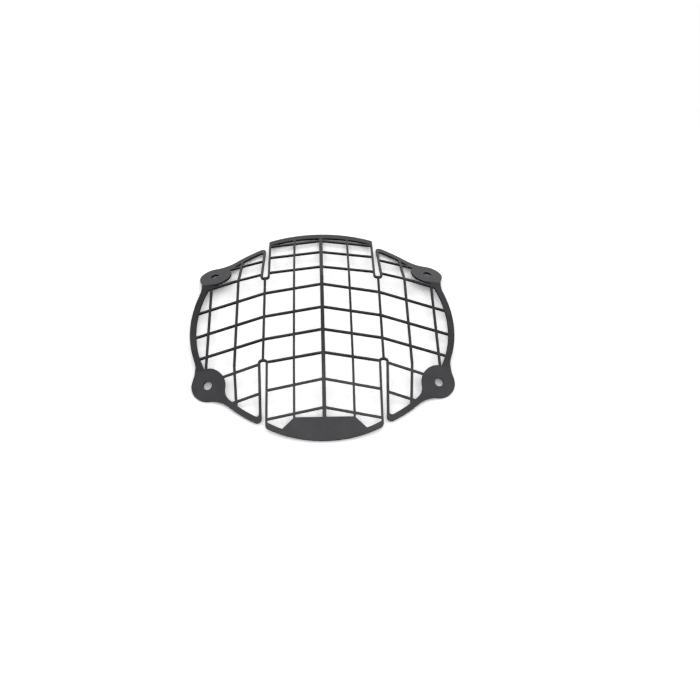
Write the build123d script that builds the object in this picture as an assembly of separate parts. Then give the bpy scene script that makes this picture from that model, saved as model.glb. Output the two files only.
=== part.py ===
from build123d import *
import math
import os

# Headlight guard cut from one flat sheet, then folded back round its middle panel.
# The blank lies in XY with its disc centre at the origin, +Y towards the top edge.
# Its outer face is at z = 0 and the metal lies below it. All sizes are millimetres.

# Sheet and folds
sheet = 2.0
bend_radius = 2.0
wing_fold_x = 58.5
wing_fold_angle = 11.9
flap_angle = 14.6
ear_angle = 18.2
fold_to_hole = 16.2

# Outer edge and rim
disc_radius = 135.2
top_bulge = 4.5
bottom_bulge = 1.6
top_corner_rise = 1.0
bottom_corner_rise = 0.0
rim_width = 6.4
top_rim_width = 7.4
bottom_rim_width = 5.5
inner_edge_drop = 0.6

# Mounting ears, whose holes stand on the edge of the disc
hole_diameter = 8.4
hole_angle = 32.2
ear_radius = 16.2
ear_blend = 28.0
ear_inner_radius = 17.5
ear_inner_blend = 14.0

# Bars of the grille
spine_width = 3.8
bar_width = 2.3
column_pitch = 28.6
chevron_angle = 11.9
row_pitch = 29.4
middle_row_pitch = 31.2
middle_row_y = 14.3
top_row_drop = 12.5
smallest_cell = 8.0

# Relief slots between the flaps and the wings
slot_width = 5.1
slot_flare_angle = 2.2
slot_edge_width = 2.3
slot_end_to_hole = 17.1
slot_end_round = 1.6
top_mouth_round = 2.5
bottom_mouth_round = 5.5
wing_mouth_round = 4.3
wing_cell_round = 2.2

# Solid chin plate in the bottom flap
chin_height = 23.6
chin_flare = 11.7

# Slices that follow one bend, and the distance within which two points are the same
bend_slices = 4
touch = 1e-4

# What follows from the sizes above
top_reach = disc_radius + top_bulge
bottom_reach = disc_radius + bottom_bulge
hole_x = disc_radius * math.cos(math.radians(hole_angle))
hole_y = disc_radius * math.sin(math.radians(hole_angle))
fold_y = hole_y - fold_to_hole
slot_end_y = hole_y - slot_end_to_hole
reach = max(top_reach, bottom_reach) + ear_radius
hole_centres = [(sx * hole_x, sy * hole_y) for sx in (-1, 1) for sy in (-1, 1)]
inner_centre = (0, -inner_edge_drop)


def strip(start, end, width):
    """Straight bar of one width between two points of the blank."""
    length = math.dist(start, end)
    angle = math.degrees(math.atan2(end[1] - start[1], end[0] - start[0]))
    middle = ((start[0] + end[0]) / 2, (start[1] + end[1]) / 2)
    return Pos(*middle) * Rot(Z=angle) * Rectangle(length, width)


def cap(radius, corner_rise, reach_y):
    """Upper middle of the disc, under an arc that stands a little outside its edge."""
    corner_y = math.sqrt(radius**2 - wing_fold_x**2) + corner_rise
    arc = ThreePointArc((-wing_fold_x, corner_y), (0, reach_y), (wing_fold_x, corner_y))
    sides = Polyline(arc @ 1, (wing_fold_x, 0), (-wing_fold_x, 0), arc @ 0)
    return make_face([arc.edge(), *sides.edges()])


def disc_with_caps(radius, top_y, bottom_y):
    """Disc whose top and bottom, between the slots, follow arcs of their own."""
    bottom = mirror(cap(radius, bottom_corner_rise, bottom_y), about=Plane.XZ)
    return Circle(radius) + cap(radius, top_corner_rise, top_y) + bottom


def both_sides(shape):
    """The shape and its mirror image across the middle bar."""
    return shape + mirror(shape, about=Plane.YZ)


def at_holes(radius):
    """Circles of one radius about the four mounting holes."""
    return [Pos(*centre) * Circle(radius) for centre in hole_centres]


def slot_shape(border):
    """The two slots on the right, grown by a border; they widen beside the wing."""
    flap_side = wing_fold_x - slot_width / 2
    flare = math.tan(math.radians(slot_flare_angle)) * (reach - slot_end_y)
    points = [
        (flap_side, slot_end_y),
        (flap_side + slot_width, slot_end_y),
        (flap_side + slot_width + flare, reach),
        (flap_side, reach),
    ]
    slot = make_face(Polyline(*points, close=True))
    upper = fillet(slot.vertices().sort_by(Axis.Y)[:2], slot_end_round)
    if border:
        upper = offset(upper, border)
    return upper + mirror(upper, about=Plane.XZ)


def row_heights():
    """Where each row meets the middle bar, from the top row down to the chin plate."""
    top_row = top_reach - top_row_drop
    heights = [top_row]
    height = middle_row_y + middle_row_pitch
    while height < top_row - row_pitch / 2:
        heights.append(height)
        height += row_pitch
    height = middle_row_y
    while height > chin_height - bottom_reach:
        heights.append(height)
        height -= row_pitch
    return heights


def row_bars():
    """Right half of the chevron rows."""
    slope = math.tan(math.radians(chevron_angle))
    sketch = Sketch()
    for height in row_heights():
        start = (-bar_width / 2, height + slope * bar_width / 2)
        sketch += strip(start, (disc_radius, height - slope * disc_radius), bar_width)
    return sketch


def column_bars():
    """Upright bars right of the middle bar: one in the flaps, one on the fold, then the wing's."""
    sketch = strip((column_pitch, -disc_radius), (column_pitch, disc_radius), bar_width)
    fold_bar_end = slot_end_y - slot_edge_width
    sketch += strip((wing_fold_x, -fold_bar_end), (wing_fold_x, fold_bar_end), bar_width)
    x = wing_fold_x + column_pitch
    while x < disc_radius - rim_width:
        sketch += strip((x, -disc_radius), (x, disc_radius), bar_width)
        x += column_pitch
    return sketch


def chin_plate():
    """Solid plate that fills the foot of the bottom flap between two slanted sides."""
    top_y = chin_height - bottom_reach
    foot_half = column_pitch + chin_flare
    right = [(column_pitch, top_y), (foot_half, top_y - chin_flare), (foot_half, -bottom_reach)]
    left = [(-x, y) for x, y in reversed(right)]
    return make_face(Polyline(*right, *left, close=True))


def by_slot(vertex):
    """Whether a corner stands beside one of the slots."""
    return abs(abs(vertex.X) - wing_fold_x) < 2 * (slot_width + slot_edge_width)


def on_circle(vertex, centres, radius):
    """Whether a corner lies on one of the circles about these centres."""
    return any(abs(math.dist((vertex.X, vertex.Y), centre) - radius) < touch for centre in centres)


def room_at(cell, vertex):
    """Length of the shortest side that meets at a corner of a cell."""
    corner = Vector(*vertex)
    ends = [(side, side.position_at(0), side.position_at(1)) for side in cell.edges()]
    meeting = [s.length for s, a, b in ends if min((a - corner).length, (b - corner).length) < touch]
    return min(meeting)


def rounded_cell(cell, inner_radius):
    """A cell rounded where the rim meets a slot's border or flows into an ear."""
    for vertex in cell.vertices():
        if not on_circle(vertex, [inner_centre], inner_radius):
            continue
        room = room_at(cell, vertex)
        if by_slot(vertex):
            return cell.fillet_2d(min(wing_cell_round, room / 2), [vertex])
        if on_circle(vertex, hole_centres, ear_inner_radius) and abs(vertex.Y) > hole_y:
            return cell.fillet_2d(min(ear_inner_blend, room), [vertex])
    return cell


def openings():
    """Cells left open between the rim and the bars, without the smallest slivers."""
    inner_radius = disc_radius - rim_width
    field = disc_with_caps(inner_radius, top_reach - top_rim_width, bottom_reach - bottom_rim_width)
    field = Pos(*inner_centre) * field
    spine = strip((0, -bottom_reach), (0, top_reach), spine_width)
    bars = both_sides(row_bars() + column_bars() + slot_shape(slot_edge_width))
    cells = field - at_holes(ear_inner_radius) - spine - bars - chin_plate()
    return [rounded_cell(cell, inner_radius) for cell in cells.faces() if cell.area > smallest_cell]


def blended_outline():
    """Outer edge with its four ears blended into the rim."""
    outline = disc_with_caps(disc_radius, top_reach, bottom_reach) + at_holes(ear_radius)
    roots = [
        vertex
        for vertex in outline.vertices()
        if on_circle(vertex, hole_centres, ear_radius) and on_circle(vertex, [(0, 0)], disc_radius)
    ]
    return fillet(roots, ear_blend)


def rounded_mouths(outline):
    """The outer edge with its corners rounded where the slots run out."""
    for on_flap, side, radius in (
        (True, 1, top_mouth_round),
        (True, -1, bottom_mouth_round),
        (False, 1, wing_mouth_round),
        (False, -1, wing_mouth_round),
    ):
        corners = [
            vertex
            for vertex in outline.vertices()
            if by_slot(vertex)
            and math.hypot(vertex.X, vertex.Y) > disc_radius - rim_width
            and (abs(vertex.X) < wing_fold_x) == on_flap
            and vertex.Y * side > 0
        ]
        outline = fillet(corners, radius)
    return outline


def blank():
    """The flat sheet with its outline, slots, cells and holes."""
    slotted = rounded_mouths(blended_outline() - both_sides(slot_shape(0)))
    return slotted - openings() - at_holes(hole_diameter / 2)


def bend_length(angle):
    """Length of blank that a bend takes up, along the middle of the sheet."""
    return math.radians(angle) * (bend_radius + sheet / 2)


def band(flat, outward, near, far, low, high):
    """Thick metal from near to far along one direction and from low to high across it."""
    along = Vector(*outward)
    across = Vector(abs(along.Y), abs(along.X))
    middle = along * ((near + far) / 2) + across * ((low + high) / 2)
    size_x = abs(along.X) * (far - near) + across.X * (high - low)
    size_y = abs(along.Y) * (far - near) + across.Y * (high - low)
    window = Pos(middle) * Rectangle(size_x, size_y)
    return extrude(flat & window, amount=sheet, dir=(0, 0, -1))


def hinged(flat, outward, crease, low, high, angle, carried=()):
    """Metal beyond a crease turned down: short bent slices, then the flat rest."""
    along = Vector(*outward)
    origin = along * crease - Vector(0, 0, sheet + bend_radius)
    axis = Axis(origin, Vector(0, 0, 1).cross(along))
    length = bend_length(angle)
    step = length / bend_slices
    turn = angle / bend_slices
    pieces = []
    for index in range(bend_slices):
        near = crease + index * step
        piece = Pos(along * -(index * step)) * band(flat, outward, near, near + step, low, high)
        for face in piece.faces().filter_by(GeomType.PLANE):
            square = abs(abs(face.normal_at().dot(along)) - 1) < touch
            if square and abs((face.center() - origin).dot(along)) < touch:
                bent = revolve(face, axis, revolution_arc=turn)
                pieces.append(bent.rotate(axis, index * turn))
    rest = [band(flat, outward, crease + length, reach, low, high), *carried]
    return pieces + [(Pos(along * -length) * piece).rotate(axis, angle) for piece in rest]


def folded(flat):
    """The blank with its flaps, wings and ears turned back."""
    wing_start = wing_fold_x + bend_length(wing_fold_angle)
    up = (0, 1)
    down = (0, -1)
    middle = band(flat, (1, 0), -wing_fold_x, wing_fold_x, -fold_y, fold_y)
    flaps = [
        *hinged(flat, up, fold_y, -wing_fold_x, wing_fold_x, flap_angle),
        *hinged(flat, down, fold_y, -wing_fold_x, wing_fold_x, flap_angle),
    ]
    ears = [
        *hinged(flat, up, fold_y, wing_start, reach, ear_angle),
        *hinged(flat, down, fold_y, wing_start, reach, ear_angle),
    ]
    wing = hinged(flat, (1, 0), wing_fold_x, -fold_y, fold_y, wing_fold_angle, ears)
    return middle.fuse(*flaps, *wing, *[mirror(piece, about=Plane.YZ) for piece in wing])


def seated(shape):
    """The shape moved so that it stands centred on the floor plane."""
    box = shape.bounding_box()
    return Pos(-box.center().X, -box.center().Y, -box.min.Z) * shape


os.makedirs("parts", exist_ok=True)
guard = seated(folded(blank()))
export_step(guard, "parts/guard_grille.step")
box = guard.bounding_box()
print("solids", len(guard.solids()), "faces", len(guard.faces()), "volume", round(guard.volume))
print("size", round(box.size.X, 2), round(box.size.Y, 2), round(box.size.Z, 2))
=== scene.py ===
import bpy
import math
from mathutils import Matrix, Vector


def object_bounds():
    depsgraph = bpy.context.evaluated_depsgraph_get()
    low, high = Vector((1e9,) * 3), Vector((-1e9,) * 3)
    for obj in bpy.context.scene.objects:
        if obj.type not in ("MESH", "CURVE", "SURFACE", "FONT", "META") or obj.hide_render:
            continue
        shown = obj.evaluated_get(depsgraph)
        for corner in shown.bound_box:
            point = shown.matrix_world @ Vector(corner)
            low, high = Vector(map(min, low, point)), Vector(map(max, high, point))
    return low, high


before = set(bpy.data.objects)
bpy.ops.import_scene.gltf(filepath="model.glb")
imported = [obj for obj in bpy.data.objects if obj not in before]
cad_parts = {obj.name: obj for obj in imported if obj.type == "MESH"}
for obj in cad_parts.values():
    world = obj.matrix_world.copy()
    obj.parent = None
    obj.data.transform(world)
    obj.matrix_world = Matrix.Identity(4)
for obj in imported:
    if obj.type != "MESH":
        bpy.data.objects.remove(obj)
cadLow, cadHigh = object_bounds()
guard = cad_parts["guard_grille"]
scene = bpy.context.scene
millimetre = 0.001
print("frame loaded, guard", [round(side / millimetre) for side in cadHigh - cadLow], "mm")


# wraps a node's socket, so that shader maths reads as plain expressions
class Wire:
    def __init__(self, graph, socket):
        self.graph = graph
        self.socket = socket

    def maths(self, operation, first, second):
        return self.graph.node("ShaderNodeMath", {"operation": operation}, {0: first, 1: second})

    def __add__(self, other):
        return self.maths("ADD", self, other)

    def __radd__(self, other):
        return self.maths("ADD", other, self)

    def __sub__(self, other):
        return self.maths("SUBTRACT", self, other)

    def __rsub__(self, other):
        return self.maths("SUBTRACT", other, self)

    def __mul__(self, other):
        return self.maths("MULTIPLY", self, other)

    def __rmul__(self, other):
        return self.maths("MULTIPLY", other, self)


# the nodes of one material, or of the world
class Graph:
    def __init__(self, owner):
        owner.use_nodes = True
        self.tree = owner.node_tree
        self.tree.nodes.clear()

    # settings first, then the sockets, each a plain value or a wire
    def node(self, kind, settings, sockets, output=0):
        made = self.tree.nodes.new(kind)
        for name, value in settings.items():
            if name == "stops":
                self.setStops(made.color_ramp, value)
            else:
                setattr(made, name, value)
        for name, value in sockets.items():
            if isinstance(value, Wire):
                self.tree.links.new(value.socket, made.inputs[name])
            else:
                made.inputs[name].default_value = value
        return Wire(self, made.outputs[output]) if made.outputs else None

    # each stop is a position along the ramp and a grey, and the last one stands at its end
    def setStops(self, ramp, stops):
        endPosition = stops[-1][0]
        while len(ramp.elements) < len(stops):
            ramp.elements.new(endPosition)
        for element, (position, grey) in zip(ramp.elements, stops):
            element.position = position
            element.color = (grey, grey, grey, 1.0)


# detail is how many finer layers the noise has
def noise(graph, place, size, detail):
    sockets = {"Vector": place, "Scale": 1 / size, "Detail": detail}
    return graph.node("ShaderNodeTexNoise", {}, sockets)


def alongAxis(graph, vector, axis):
    return graph.node("ShaderNodeSeparateXYZ", {}, {"Vector": vector}, axis)


# 0 up to the start, 1 from the end on, and eased between them
def easeBetween(graph, value, start, end):
    sockets = {"Value": value, "From Min": start, "From Max": end}
    return graph.node("ShaderNodeMapRange", {"interpolation_type": "SMOOTHSTEP"}, sockets)


# a Mix node has a set of sockets for each kind of data, and these are the colour ones
def mixColours(graph, share, first, second):
    firstColour, secondColour, mixedColour = 6, 7, 2
    sockets = {"Factor": share, firstColour: first, secondColour: second}
    return graph.node("ShaderNodeMix", {"data_type": "RGBA"}, sockets, mixedColour)


def mixShaders(graph, share, first, second):
    return graph.node("ShaderNodeMixShader", {}, {0: share, 1: first, 2: second})


# satin black powder coat: fine orange peel, a soft grain and wide clouds of uneven tone;
# the cut edges and other steep side walls are duller, and their darker colour is painted shade
powderCoat = {
    "dark": (0.0110, 0.0110, 0.0153, 1.0),
    "pale": (0.0290, 0.0290, 0.0338, 1.0),
    "grainShare": 0.6,          # how far the grain and the clouds carry the colour from its middle
    "cloudShare": 3.0,
    "roughness": 0.38,
    "roughnessSpread": 0.25,    # how far the clouds carry the roughness
    "peelSize": 1.6 * millimetre,
    "grainSize": 0.35 * millimetre,
    "cloudSize": 22 * millimetre,
    "peelDetail": 1.0,
    "grainDetail": 2.0,
    "cloudDetail": 3.0,
    "peelDepth": 0.050 * millimetre,
    "grainDepth": 0.050 * millimetre,
    "bumpStrength": 1.0,        # full, and in metres, so that the depths count as they are
    "bumpDistance": 1.0,
    "gloss": 1.5,               # index of refraction, which sets how much light the coat mirrors
    # painted shade: a darker colour put on every steep side wall of the sheet; its duller
    # roughness and gloss are the coat's own
    "edgePaintedShadeColour": (0.0045, 0.0045, 0.0048, 1.0),
    "edgeRoughness": 0.65,
    "edgeGloss": 1.16,
    "edgeFrom": 0.35,           # flatness, from 0 to 1, up to which all is cut edge
    "edgeTo": 0.80,             # and from which all is face
}


def coatShader(graph, colour, roughness, gloss, bump):
    return graph.node("ShaderNodeBsdfPrincipled", {}, {
        "Base Color": colour,
        "Roughness": roughness,
        "Normal": bump,
        "IOR": gloss,
    })


def makePowderCoat(coat):
    material = bpy.data.materials.new("satin_black_powder_coat")
    graph = Graph(material)
    place = graph.node("ShaderNodeTexCoord", {}, {}, "Object")
    # steep side walls, found by how upright their normal is, take the painted shade of the edge
    # colour
    facing = graph.node("ShaderNodeTexCoord", {}, {}, "Normal")
    upright = alongAxis(graph, facing, "Z")
    flatness = graph.node("ShaderNodeMath", {"operation": "ABSOLUTE"}, {0: upright})
    faceNotShadedEdge = easeBetween(graph, flatness, coat["edgeFrom"], coat["edgeTo"])
    peel = noise(graph, place, coat["peelSize"], coat["peelDetail"])
    grain = noise(graph, place, coat["grainSize"], coat["grainDetail"])
    cloud = noise(graph, place, coat["cloudSize"], coat["cloudDetail"])
    middle = 0.5                # what each noise swings about
    shade = middle + (grain - middle) * coat["grainShare"] + (cloud - middle) * coat["cloudShare"]
    colour = mixColours(graph, shade, coat["dark"], coat["pale"])
    bump = graph.node("ShaderNodeBump", {}, {
        "Height": peel * coat["peelDepth"] + grain * coat["grainDepth"],
        "Strength": coat["bumpStrength"],
        "Distance": coat["bumpDistance"],
    })
    faceRoughness = coat["roughness"] + (cloud - middle) * coat["roughnessSpread"]
    face = coatShader(graph, colour, faceRoughness, coat["gloss"], bump)
    # the cut-edge shader carries painted shade in its colour, with the coat's own duller roughness
    # and gloss
    edge = coatShader(graph, coat["edgePaintedShadeColour"], coat["edgeRoughness"], coat["edgeGloss"], bump)
    shader = mixShaders(graph, faceNotShadedEdge, edge, face)
    graph.node("ShaderNodeOutputMaterial", {}, {"Surface": shader})
    return material


# the coat goes over the whole guard
coatMaterial = makePowderCoat(powderCoat)
guard.data.materials.clear()
guard.data.materials.append(coatMaterial)
print("powder coat on the guard")

# what the camera sees of the far floor and past it, the same in both, so that no horizon shows
backdrop = {
    "colour": (1.0, 1.0, 1.0, 1.0),
    "strength": 1.0,            # shows the colour as it is written
}

# pale studio floor, which keeps the soft shadow of the guard and runs out into the backdrop
floorPlan = {
    "side": 60.0,
    "colour": (0.86, 0.86, 0.86, 1.0),
    "seenColour": (1.44, 1.44, 1.44, 1.0),      # to the camera, so that it shows white
    "plainFrom": 0.35,          # metres from the floor's middle, where the backdrop starts to show
    "plainTo": 0.60,            # and from where only the backdrop shows
}


def makeFloor(plan, beyond):
    bpy.ops.mesh.primitive_plane_add(size=plan["side"], location=(0, 0, cadLow.z))
    floor = bpy.context.object
    floor.name = "studio_floor"
    material = bpy.data.materials.new("pale_floor")
    graph = Graph(material)
    seen = graph.node("ShaderNodeLightPath", {}, {}, "Is Camera Ray")
    place = graph.node("ShaderNodeTexCoord", {}, {}, "Object")
    away = graph.node("ShaderNodeVectorMath", {"operation": "LENGTH"}, {0: place}, "Value")
    far = easeBetween(graph, away, plan["plainFrom"], plan["plainTo"])
    colour = mixColours(graph, seen, plan["colour"], plan["seenColour"])
    near = graph.node("ShaderNodeBsdfDiffuse", {}, {"Color": colour})
    plainSockets = {"Color": beyond["colour"], "Strength": beyond["strength"]}
    plain = graph.node("ShaderNodeEmission", {}, plainSockets)
    surface = mixShaders(graph, far * seen, near, plain)
    graph.node("ShaderNodeOutputMaterial", {}, {"Surface": surface})
    floor.data.materials.append(material)


makeFloor(floorPlan, backdrop)
print("floor laid")

# plain soft light: a sky that is brightest low down and a little brighter on the right, and one
# broad lamp overhead
studio = {
    # height in the sky, from 0 at the horizon to 1 overhead, and the grey there
    "skyStops": ((0.0, 1.0), (0.27, 0.95), (0.50, 0.55), (0.75, 0.38), (1.0, 0.38)),
    "skyPower": 1.05,
    "rightward": 0.32,          # added to the sky's power at the far right, taken off at the left
    "lampSide": 2.6,
    "lampPower": 25.0,
    "lampPlace": (0.0, -0.35, 1.9),
}


def makeWorld(plan, beyond):
    world = bpy.data.worlds.new("studio_white")
    scene.world = world
    graph = Graph(world)
    way = graph.node("ShaderNodeTexCoord", {}, {}, "Generated")
    rise = alongAxis(graph, way, "Z")
    across = alongAxis(graph, way, "X")
    sky = graph.node("ShaderNodeValToRGB", {"stops": plan["skyStops"]}, {"Fac": rise})
    brightness = plan["skyPower"] + across * plan["rightward"]
    lit = graph.node("ShaderNodeBackground", {}, {"Color": sky, "Strength": brightness})
    plainSockets = {"Color": beyond["colour"], "Strength": beyond["strength"]}
    plain = graph.node("ShaderNodeBackground", {}, plainSockets)
    seen = graph.node("ShaderNodeLightPath", {}, {}, "Is Camera Ray")
    surface = mixShaders(graph, seen, lit, plain)
    graph.node("ShaderNodeOutputWorld", {}, {"Surface": surface})


# the lamp looks at the origin, which is under the middle of the guard
def makeLamp(plan):
    light = bpy.data.lights.new("soft_lamp", "AREA")
    light.size = plan["lampSide"]
    light.energy = plan["lampPower"]
    lamp = bpy.data.objects.new("soft_lamp", light)
    scene.collection.objects.link(lamp)
    lamp.location = plan["lampPlace"]
    lamp.rotation_euler = (-lamp.location).to_track_quat("-Z", "Y").to_euler()


makeWorld(studio, backdrop)
makeLamp(studio)
print("studio lit")

# camera fitted to the crossings of the bars in a frame of 700 by 700 pixels
cameraPlan = {
    "focalPixels": 1001.81,
    "framePixels": 700,
    "sensor": 36.0,                     # millimetres, as a lens is measured
    "middleY": -1.403 * millimetre,     # middle of the disc, on the front face
    "distance": 1003.86 * millimetre,
    "elevation": 51.408,                # degrees that the camera looks down, is turned and rolls
    "turn": 3.286,
    "roll": -1.747,
    "aside": -28.542 * millimetre,      # where the middle stands from the line of sight
    "above": 32.458 * millimetre,
}


def makeCamera(plan):
    turn = math.radians(plan["turn"])
    roll = math.radians(plan["roll"])
    elevation = math.radians(plan["elevation"])
    overhead = Vector((0, 0, 1))
    right = Vector((math.cos(turn), -math.sin(turn), 0))
    ahead = Vector((math.sin(turn), math.cos(turn), 0))
    up = math.sin(elevation) * ahead + math.cos(elevation) * overhead
    sight = math.cos(elevation) * ahead - math.sin(elevation) * overhead
    middle = Vector((0, plan["middleY"], cadHigh.z))
    place = middle - plan["aside"] * right - plan["above"] * up - plan["distance"] * sight
    rolledRight = math.cos(roll) * right - math.sin(roll) * up
    rolledUp = math.sin(roll) * right + math.cos(roll) * up
    eye = bpy.data.cameras.new("photo_camera")
    eye.sensor_width = plan["sensor"]
    eye.lens = plan["focalPixels"] * plan["sensor"] / plan["framePixels"]
    camera = bpy.data.objects.new("photo_camera", eye)
    scene.collection.objects.link(camera)
    turned = Matrix((rolledRight, rolledUp, -sight)).transposed().to_4x4()
    camera.matrix_world = Matrix.Translation(place) @ turned
    scene.camera = camera


makeCamera(cameraPlan)
scene.view_settings.view_transform = "Standard"
print("camera placed")
